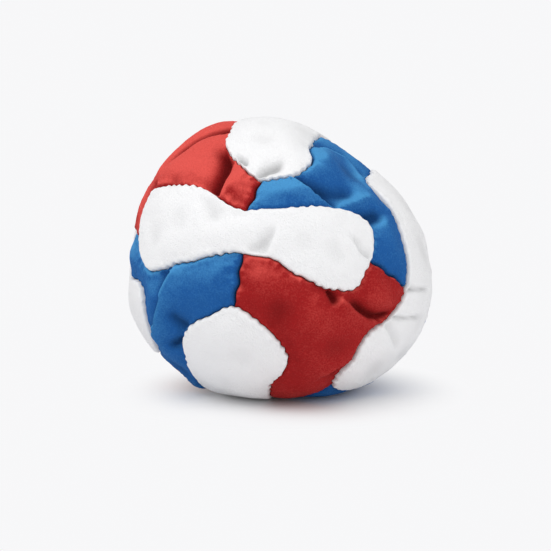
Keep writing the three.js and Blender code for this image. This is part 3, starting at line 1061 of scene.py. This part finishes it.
def sew_panel(scene, form, panel, slack, material):
    name = panel.name + "_suede"
    mesh, outline = panel_mesh(name, scene, form, panel, slack)
    mesh.materials.append(material)
    piece = add_object(name, mesh)
    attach(piece, BODY)
    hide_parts(panel.name)


# Nodes
MIX_SOCKETS = {"FLOAT": (2, 3, 0), "RGBA": (6, 7, 2)}  # a Mix node's two inputs and its output


def feed(tree, node, values):
    """Sets inputs of a node to values, or links them to the outputs of other nodes."""
    for key, value in values.items():
        if isinstance(value, bpy.types.NodeSocket):
            tree.links.new(value, node.inputs[key])
        else:
            node.inputs[key].default_value = value


def add_node(tree, kind, values=None, **settings):
    """A new node with its settings, and its inputs fed."""
    node = tree.nodes.new(kind)
    for key, value in settings.items():
        setattr(node, key, value)
    feed(tree, node, values or {})
    return node


def calculated(tree, operation, first, second, clamp=False):
    """What a Math node makes of two numbers."""
    values = {0: first, 1: second}
    return add_node(tree, "ShaderNodeMath", values, operation=operation, use_clamp=clamp).outputs[0]


def ranged(tree, value, start, end, low, high, curve="LINEAR"):
    """A number from start to end turned into one from low to high."""
    values = {"Value": value, "From Min": start, "From Max": end, "To Min": low, "To Max": high}
    return add_node(tree, "ShaderNodeMapRange", values, interpolation_type=curve).outputs[0]


def mixed(tree, share, first, second, kind="RGBA"):
    """What a Mix node makes of two colours or, with the kind FLOAT, of two numbers."""
    one, other, result = MIX_SOCKETS[kind]
    values = {0: share, one: first, other: second}
    return add_node(tree, "ShaderNodeMix", values, data_type=kind).outputs[result]


def attribute(tree, name):
    """A number that the mesh keeps for each of its points."""
    return add_node(tree, "ShaderNodeAttribute", attribute_name=name).outputs["Fac"]


# Shader node groups, shared by the materials
SPECK_SCALE = 1.4  # how much finer than the fibres the specks of the nap are
SPECK_SHARE = 0.65  # share of the specks in the tone of the nap, the rest being patches
TONE_LOW, TONE_HIGH = 0.36, 0.64  # part of the noise that is spread over all tones
DEEP_FOLD = 0.9  # how far below the suede round it a fold gets its darkest painted shade


def new_group(name, inputs, outputs):
    """An empty shader group with named sockets: each is a name, a type and, for an input, a default."""
    group = bpy.data.node_groups.new(name, "ShaderNodeTree")
    for label, kind, default in inputs:
        socket = group.interface.new_socket(label, in_out="INPUT", socket_type=kind)
        socket.default_value = default
    for label, kind in outputs:
        group.interface.new_socket(label, in_out="OUTPUT", socket_type=kind)
    return group


def place_group(tree, name, build, values):
    """A shared group in a tree, built the first time it is asked for."""
    group = bpy.data.node_groups.get(name) or build(name)
    return add_node(tree, "ShaderNodeGroup", values, node_tree=group).outputs


def speckle(tree, place, scale, detail, roughness, distortion=0):
    """Noise over the places of a piece."""
    values = {
        "Vector": place,
        "Scale": scale,
        "Detail": detail,
        "Roughness": roughness,
        "Distortion": distortion,
    }
    return add_node(tree, "ShaderNodeTexNoise", values).outputs["Fac"]


def build_nap(name):
    """Short brushed fibres: a height, and a tone from 0 to 1 that follows how they lie."""
    group = new_group(
        name,
        [
            ("Fibre Scale", "NodeSocketFloat", 2600.0),
            ("Patch Scale", "NodeSocketFloat", 210.0),
            ("Fibre Depth", "NodeSocketFloat", 1.0),
        ],
        [("Height", "NodeSocketFloat"), ("Tone", "NodeSocketFloat")],
    )
    entry = add_node(group, "NodeGroupInput").outputs
    place = add_node(group, "ShaderNodeTexCoord").outputs["Object"]
    fibres = speckle(group, place, entry["Fibre Scale"], detail=3, roughness=0.65)
    patches = speckle(group, place, entry["Patch Scale"], detail=4, roughness=0.6, distortion=0.8)
    finer = calculated(group, "MULTIPLY", entry["Fibre Scale"], SPECK_SCALE)
    specks = speckle(group, place, finer, detail=1, roughness=0.5)
    height = calculated(group, "ADD", fibres, specks)
    height = calculated(group, "MULTIPLY", height, entry["Fibre Depth"])
    tone = mixed(group, SPECK_SHARE, patches, specks, "FLOAT")
    tone = ranged(group, tone, TONE_LOW, TONE_HIGH, 0, 1)
    add_node(group, "NodeGroupOutput", {"Height": height, "Tone": tone})
    return group


def build_seam_shade(name):
    """Paints shade into a colour: darker down in the seams and the folds."""
    group = new_group(
        name,
        [
            ("Colour", "NodeSocketColor", (0.5, 0.5, 0.5, 1)),
            ("Seam Colour", "NodeSocketColor", (0.1, 0.1, 0.1, 1)),
            ("Seam Width", "NodeSocketFloat", 0.25),
            ("Fold Colour", "NodeSocketColor", (0.1, 0.1, 0.1, 1)),
        ],
        [("Colour", "NodeSocketColor")],
    )
    entry = add_node(group, "NodeGroupInput").outputs
    # painted shade: the colour darkens towards the seam and into the folds
    near = ranged(group, attribute(group, "seam_distance"), 0, entry["Seam Width"], 1, 0, "SMOOTHSTEP")
    deep = ranged(group, attribute(group, "relief"), 0, -DEEP_FOLD, 0, 1)
    colour = mixed(group, near, entry["Colour"], entry["Seam Colour"])
    colour = mixed(group, deep, colour, entry["Fold Colour"])
    add_node(group, "NodeGroupOutput", {"Colour": colour})
    return group


# Materials
LIT_WHITE = 1.04  # how much lighter the lit copy of the white suede is, for painted light
PATCH_SHIFT = 0.14  # how far the lie of the nap shifts in patches
LYING_ROUGHNESS, STANDING_ROUGHNESS = 0.98, 0.82
FIBRE_HEIGHT = 0.16
GRAIN_HEIGHT = 0.05
SHEEN_TINT = 1.4  # how much lighter than the lit copy of the suede its sheen is
GRAIN_DARK, GRAIN_LIGHT = 0.85, 1.1  # tones of the grain of thread and plastic


def tint(colour, amount):
    """A colour made lighter, above 1, or darker, with an alpha of 1."""
    return tuple(min(1.0, channel * amount) for channel in colour) + (1.0,)


def new_material(name):
    """A material with a Principled shader, its tree and that shader."""
    material = bpy.data.materials.new(name)
    material.use_nodes = True
    tree = material.node_tree
    return material, tree, tree.nodes["Principled BSDF"]


def bumped(tree, height, distance, strength):
    """The normal of a surface with a fine relief, so many millimetres high."""
    values = {"Height": height, "Strength": strength, "Distance": distance * MM}
    return add_node(tree, "ShaderNodeBump", values).outputs["Normal"]


def suede_material(name, colour, rubbed, seam, fold, sheen):
    """Brushed suede with painted light and shade: its colour mixes a shaded and a lit copy by how far it
    faces the light, shifts at random with the lie of the nap, and takes painted shade in the seams and
    folds.
    """
    material, tree, shader = new_material(name)
    nap = place_group(tree, "Suede nap", build_nap, {})
    patchy = ranged(tree, nap["Tone"], 0, 1, -PATCH_SHIFT, PATCH_SHIFT)
    # painted light: the share of the lit copy, from the mesh, shifted at random in patches by the tone of
    # the nap
    lie = calculated(tree, "ADD", attribute(tree, "rubbed"), patchy, clamp=True)
    colours = {
        "Colour": mixed(tree, lie, tint(colour, 1), tint(rubbed, 1)),
        # painted shade: the seams and folds darken towards these tints
        "Seam Colour": tint(colour, seam),
        "Fold Colour": tint(colour, fold),
    }
    shade = place_group(tree, "Seam and fold shade", build_seam_shade, colours)
    values = {
        "Base Color": shade["Colour"],
        "Roughness": ranged(tree, nap["Tone"], 0, 1, LYING_ROUGHNESS, STANDING_ROUGHNESS),
        "Normal": bumped(tree, nap["Height"], FIBRE_HEIGHT, strength=0.8),
        "Specular IOR Level": 0.1,
        "Sheen Weight": sheen,
        "Sheen Roughness": 0.45,
        "Sheen Tint": tint(rubbed, SHEEN_TINT),
    }
    feed(tree, shader, values)
    return material


def plain_material(name, colour, roughness, grain):
    """Thread or plastic: one colour with a fine grain."""
    material, tree, shader = new_material(name)
    nap = place_group(tree, "Suede nap", build_nap, {"Fibre Depth": grain})
    values = {
        "Base Color": mixed(tree, nap["Tone"], tint(colour, GRAIN_DARK), tint(colour, GRAIN_LIGHT)),
        "Roughness": roughness,
        "Normal": bumped(tree, nap["Height"], GRAIN_HEIGHT, strength=0.3),
    }
    feed(tree, shader, values)
    return material


# Geometry node trees for what repeats
PELLET_SPACING = 1.15  # from pellet to pellet, as a share of the width of one
PELLET_GIRTH = 0.9  # thickness and length of a pellet, as shares of the same
PELLET_LENGTH = 0.7
PELLET_SEED = 4
THREAD_INSET = 2  # points of a cross seam at each end that its thread leaves free


def new_tree(name, inputs):
    """An empty geometry tree with named inputs: each is a name and a type."""
    tree = bpy.data.node_groups.new(name, "GeometryNodeTree")
    tree.interface.new_socket("Geometry", in_out="INPUT", socket_type="NodeSocketGeometry")
    for label, kind in inputs:
        tree.interface.new_socket(label, in_out="INPUT", socket_type=kind)
    tree.interface.new_socket("Geometry", in_out="OUTPUT", socket_type="NodeSocketGeometry")
    return tree


def finish_tree(tree, instances, material):
    """Ends a tree in real geometry with its material."""
    real = add_node(tree, "GeometryNodeRealizeInstances", {"Geometry": instances})
    values = {"Geometry": real.outputs["Geometry"], "Material": material}
    painted = add_node(tree, "GeometryNodeSetMaterial", values)
    add_node(tree, "NodeGroupOutput", {"Geometry": painted.outputs["Geometry"]})


def rod(tree, radius, length, sides):
    """A straight rod of a few sides."""
    values = {"Vertices": sides, "Side Segments": 1, "Radius": radius, "Depth": length}
    return add_node(tree, "GeometryNodeMeshCylinder", values).outputs["Mesh"]


def build_stitch_tree():
    """Stitches along a curve, each a short straight length of thread."""
    tree = new_tree(
        "Stitches",
        [
            ("Pitch", "NodeSocketFloat"),
            ("Length", "NodeSocketFloat"),
            ("Thread Radius", "NodeSocketFloat"),
            ("Material", "NodeSocketMaterial"),
        ],
    )
    entry = add_node(tree, "NodeGroupInput").outputs
    values = {"Curve": entry["Geometry"], "Length": entry["Pitch"]}
    points = add_node(tree, "GeometryNodeCurveToPoints", values, mode="LENGTH").outputs
    stitch = rod(tree, entry["Thread Radius"], entry["Length"], sides=6)
    values = {"Points": points["Points"], "Instance": stitch, "Rotation": points["Rotation"]}
    stitches = add_node(tree, "GeometryNodeInstanceOnPoints", values)
    finish_tree(tree, stitches.outputs["Instances"], entry["Material"])
    return tree


def build_pellet_tree():
    """Short plastic rods on points, turned at random."""
    tree = new_tree(
        "Pellets",
        [
            ("Radius", "NodeSocketFloat"),
            ("Length", "NodeSocketFloat"),
            ("Seed", "NodeSocketInt"),
            ("Material", "NodeSocketMaterial"),
        ],
    )
    entry = add_node(tree, "NodeGroupInput").outputs
    pellet = rod(tree, entry["Radius"], entry["Length"], sides=8)
    values = {0: (0, 0, 0), 1: (math.tau, math.tau, math.tau), "Seed": entry["Seed"]}
    turn = add_node(tree, "FunctionNodeRandomValue", values, data_type="FLOAT_VECTOR")
    values = {"Points": entry["Geometry"], "Instance": pellet, "Rotation": turn.outputs[0]}
    pellets = add_node(tree, "GeometryNodeInstanceOnPoints", values)
    finish_tree(tree, pellets.outputs["Instances"], entry["Material"])
    return tree


def grow(name, source, tree, values):
    """Runs a node tree on a source object and returns the result as a plain mesh object."""
    modifier = source.modifiers.new(tree.name, "NODES")
    modifier.node_group = tree
    for item in tree.interface.items_tree:
        if item.in_out == "INPUT" and item.name in values:
            modifier[item.identifier] = values[item.name]
    depsgraph = bpy.context.evaluated_depsgraph_get()
    mesh = bpy.data.meshes.new_from_object(source.evaluated_get(depsgraph))
    source.modifiers.remove(modifier)
    bpy.data.objects.remove(source)
    mesh.name = name
    return add_object(name, mesh)


# The operators, one for each group of like pieces


class FOOTBAG_OT_pellets(bpy.types.Operator):
    """Fill the bag with plastic pellets"""

    bl_idname = "footbag.pellets"
    bl_label = "Pellets"

    def execute(self, context):
        scene = context.scene
        form = Form(scene)
        size = scene.footbag_sewing.pellet_diameter / MM
        clearance = scene.footbag_panels.seam_drop / MM + scene.footbag_panels.allowance_depth / MM
        points = self.stack(form, size, clearance)
        source = add_object("pellet_points", new_mesh("pellet_points", points, []))
        colour = scene.footbag_colours.pellets
        values = {
            "Radius": size / 2 * MM * PELLET_GIRTH,
            "Length": size * PELLET_LENGTH * MM,
            "Seed": PELLET_SEED,
            "Material": plain_material("Pellet plastic", colour, roughness=0.6, grain=0.2),
        }
        piece = grow("pellets", source, build_pellet_tree(), values)
        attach(piece, BODY)
        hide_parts("pellet_filling")
        return {"FINISHED"}

    def stack(self, form, size, clearance):
        """Points in close layers, kept clear of the inside of the bag."""
        reach = max(form.half_width, form.half_depth, form.rise)
        spacing = PELLET_SPACING * size
        places = []
        for layer, z in enumerate(np.arange(-form.fall, form.rise, spacing * LAYER_HEIGHT)):
            for row, y in enumerate(np.arange(-reach, reach, spacing * ROW_HEIGHT)):
                start = -reach + spacing / 2 * ((row + layer) % 2)
                places += [(x, y, z) for x in np.arange(start, reach, spacing)]
        places = np.array(places)
        radius = np.linalg.norm(places, axis=1)
        directions = places / np.maximum(radius, TINY)[:, None]
        wall = np.minimum(form.radius(directions), form.on_floor(directions))
        kept = radius < wall - clearance - size
        return form.place(directions[kept], radius[kept])


class FOOTBAG_OT_white_bones(bpy.types.Operator):
    """Sew the six white dog-bone panels"""

    bl_idname = "footbag.white_bones"
    bl_label = "White bones"

    def execute(self, context):
        scene = context.scene
        white = scene.footbag_colours.white
        # painted light: a lighter copy of the white for faces turned to the light
        rubbed = tint(white, LIT_WHITE)[:3]
        form, _, panels = make_outlines(scene)
        # seam and fold are the tints of the painted shade in the seams and folds
        material = suede_material("White suede", white, rubbed, seam=0.9, fold=0.6, sheen=0.1)
        bones = [panel for panel in panels if panel.colour == "white"]
        slack = slacken(scene, form, bones)
        for panel in bones:
            sew_panel(scene, form, panel, slack[panel.name], material)
        return {"FINISHED"}


class FOOTBAG_OT_corner_panels(bpy.types.Operator):
    """Sew the four red and the four blue corner panels"""

    bl_idname = "footbag.corner_panels"
    bl_label = "Corner panels"

    def execute(self, context):
        scene = context.scene
        colours = scene.footbag_colours
        form, _, panels = make_outlines(scene)
        # seam and fold are the tints of the painted shade in the seams and folds; each colour comes as a
        # shaded and a lit copy for painted light
        look = {"seam": 0.5, "fold": 0.5, "sheen": 0.15}
        materials = {
            "red": suede_material("Red suede", colours.red, colours.lit_red, **look),
            "blue": suede_material("Blue suede", colours.blue, colours.lit_blue, **look),
        }
        corners = [panel for panel in panels if panel.colour in materials]
        slack = slacken(scene, form, corners)
        for panel in corners:
            sew_panel(scene, form, panel, slack[panel.name], materials[panel.colour])
        return {"FINISHED"}


class FOOTBAG_OT_stitches(bpy.types.Operator):
    """Sew the panels together with thread, one length of thread to each seam"""

    bl_idname = "footbag.stitches"
    bl_label = "Stitches"

    def execute(self, context):
        scene = context.scene
        form, loops, _ = make_outlines(scene)
        material = plain_material("Thread", scene.footbag_colours.thread, roughness=0.7, grain=0.6)
        tree = build_stitch_tree()
        for name, loop in loops.items():
            self.sew(scene, form, tree, material, f"thread_round_{name}_bone", loop, True)
        for name, bone in BONES.items():
            for neighbour in bone["waists"]:
                seam = cross_seam(form, loops, name, neighbour)[THREAD_INSET:-THREAD_INSET]
                self.sew(scene, form, tree, material, f"thread_{neighbour}_tip_to_{name}", seam, False)
        return {"FINISHED"}

    def sew(self, scene, form, tree, material, node, path, closed):
        """Makes the stitches that stand for one thread, along a path of directions."""
        sizes = scene.footbag_sewing
        points = form.place(path, form.seam(path) - sizes.stitch_depth / MM) * MM
        curve = bpy.data.curves.new(node + "_path", "CURVE")
        curve.dimensions = "3D"
        spline = curve.splines.new("POLY")
        spline.points.add(len(points) - 1)
        spline.points.foreach_set("co", np.c_[points, np.ones(len(points))].ravel())
        spline.use_cyclic_u = closed
        values = {
            "Pitch": scene.footbag_panels.pucker_pitch,
            "Length": sizes.stitch_length,
            "Thread Radius": sizes.thread_diameter / 2,
            "Material": material,
        }
        piece = grow(node + "_stitches", add_object(node + "_path", curve), tree, values)
        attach(piece, BODY)
        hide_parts(node)


# The stage
FLOOR_SIDE = 8000
FLOOR_SHOWN = 1.06  # how much lighter than its colour the plain floor looks
SHADE_MIDDLE = (2, -3, 0)  # middle of the bag's shadow
SHADE_NEAR = 8  # the floor shows its own shading this far from there
SHADE_FAR = 32  # and is plain beyond this
SKY_LIGHT = 0.45  # strength of the sky as light
SKY_SHOWN = 1  # and as the background
SENSOR_WIDTH = 36
NEAREST_SEEN = 10
FARTHEST_SEEN = 20000
LAMP_AIM = (0, 0, 20)
# Each lamp has its place, its side and its power
LAMPS = {
    "key_lamp": ((-160, -120, 450), 420, 1.25),
    "front_lamp": ((40, -460, 70), 320, 0.4),
    "left_lamp": ((-400, -60, 120), 320, 0.18),
    "side_lamp": ((380, -160, 150), 320, 0.44),
}


def background_rays(tree):
    """1 for the rays that show the pale background: the camera's, and those that gloss or glass send on."""
    rays = add_node(tree, "ShaderNodeLightPath").outputs
    shown = rays["Is Camera Ray"]
    for kind in ("Is Glossy Ray", "Is Transmission Ray"):
        shown = calculated(tree, "ADD", shown, rays[kind], clamp=True)
    return shown


def floor_material(colour):
    """A pale floor that keeps the bag's shadow and runs out to a plain tone far from it."""
    material, tree, shader = new_material("Pale floor")
    values = {"Base Color": tint(colour, 1), "Roughness": 0.9, "Specular IOR Level": 0.1}
    feed(tree, shader, values)
    plain = add_node(tree, "ShaderNodeEmission", {"Color": tint(colour, FLOOR_SHOWN), "Strength": 1})
    place = add_node(tree, "ShaderNodeTexCoord").outputs["Object"]
    values = {0: place, 1: Vector(SHADE_MIDDLE) * MM}
    away = add_node(tree, "ShaderNodeVectorMath", values, operation="DISTANCE").outputs["Value"]
    far = ranged(tree, away, SHADE_NEAR * MM, SHADE_FAR * MM, 0, 1, "SMOOTHSTEP")
    shown = calculated(tree, "MULTIPLY", far, background_rays(tree))
    mix = add_node(tree, "ShaderNodeMixShader", {0: shown, 1: shader.outputs[0], 2: plain.outputs[0]})
    feed(tree, tree.nodes["Material Output"], {"Surface": mix.outputs[0]})
    return material


def add_lamp(name, place, side, power):
    """A square soft lamp that faces the bag."""
    lamp = bpy.data.lights.new(name, "AREA")
    lamp.size = side * MM
    lamp.energy = power
    piece = add_object(name, lamp)
    piece.location = Vector(place) * MM
    piece.rotation_euler = (Vector(LAMP_AIM) - Vector(place)).to_track_quat("-Z", "Y").to_euler()


class FOOTBAG_OT_stage(bpy.types.Operator):
    """Set up the pale floor, the soft light and the camera"""

    bl_idname = "footbag.stage"
    bl_label = "Stage"

    def execute(self, context):
        scene = context.scene
        half = FLOOR_SIDE / 2
        corners = [(-half, -half, 0), (half, -half, 0), (half, half, 0), (-half, half, 0)]
        floor = add_object("floor", new_mesh("floor", corners, [(0, 1, 2, 3)], smooth_faces=False))
        floor.data.materials.append(floor_material(scene.footbag_colours.floor))
        for name, (place, side, power) in LAMPS.items():
            add_lamp(name, place, side, power)
        self.light_sky(scene)
        self.place_camera(scene)
        scene.view_settings.view_transform = "Standard"
        return {"FINISHED"}

    def light_sky(self, scene):
        """A plain white sky that lights the bag softly."""
        world = bpy.data.worlds.new("Studio")
        world.use_nodes = True
        tree = world.node_tree
        strength = ranged(tree, background_rays(tree), 0, 1, SKY_LIGHT, SKY_SHOWN)
        feed(tree, tree.nodes["Background"], {"Color": (1, 1, 1, 1), "Strength": strength})
        scene.world = world

    def place_camera(self, scene):
        """A camera that looks a little down on the front of the bag."""
        stage = scene.footbag_stage
        camera = bpy.data.cameras.new("camera")
        camera.sensor_width = SENSOR_WIDTH
        camera.lens = stage.distance * SENSOR_WIDTH / stage.frame_width
        camera.clip_start = NEAREST_SEEN * MM
        camera.clip_end = FARTHEST_SEEN * MM
        piece = add_object("camera", camera)
        back = Vector((0, -math.cos(stage.elevation), math.sin(stage.elevation)))
        piece.location = Vector(stage.aim) + back * stage.distance
        piece.rotation_euler = back.to_track_quat("Z", "Y").to_euler()
        scene.camera = piece


class FOOTBAG_PT_panel(bpy.types.Panel):
    """Lists the footbag's sizes, colours and steps"""

    bl_label = "Footbag"
    bl_idname = "FOOTBAG_PT_panel"
    bl_space_type = "VIEW_3D"
    bl_region_type = "UI"
    bl_category = "Footbag"

    def draw(self, context):
        for group in PROPERTIES:
            box = self.layout.box()
            settings = getattr(context.scene, group)
            for name in settings.bl_rna.properties.keys():
                if name not in ("rna_type", "name"):
                    box.prop(settings, name)
        for operator in OPERATORS:
            self.layout.operator(operator.bl_idname)


PROPERTIES = {
    "footbag_form": FootbagForm,
    "footbag_panels": FootbagPanels,
    "footbag_sewing": FootbagSewing,
    "footbag_colours": FootbagColours,
    "footbag_stage": FootbagStage,
}
OPERATORS = (
    FOOTBAG_OT_pellets,
    FOOTBAG_OT_white_bones,
    FOOTBAG_OT_corner_panels,
    FOOTBAG_OT_stitches,
    FOOTBAG_OT_stage,
)


def register():
    for group in PROPERTIES.values():
        bpy.utils.register_class(group)
    for name, group in PROPERTIES.items():
        setattr(bpy.types.Scene, name, bpy.props.PointerProperty(type=group))
    for operator in OPERATORS:
        bpy.utils.register_class(operator)
    bpy.utils.register_class(FOOTBAG_PT_panel)


def unregister():
    bpy.utils.unregister_class(FOOTBAG_PT_panel)
    for operator in reversed(OPERATORS):
        bpy.utils.unregister_class(operator)
    for name in PROPERTIES:
        delattr(bpy.types.Scene, name)
    for group in reversed(PROPERTIES.values()):
        bpy.utils.unregister_class(group)


def main():
    register()
    bpy.ops.footbag.pellets()
    bpy.ops.footbag.white_bones()
    bpy.ops.footbag.corner_panels()
    bpy.ops.footbag.stitches()
    bpy.ops.footbag.stage()


if __name__ == "__main__":
    main()
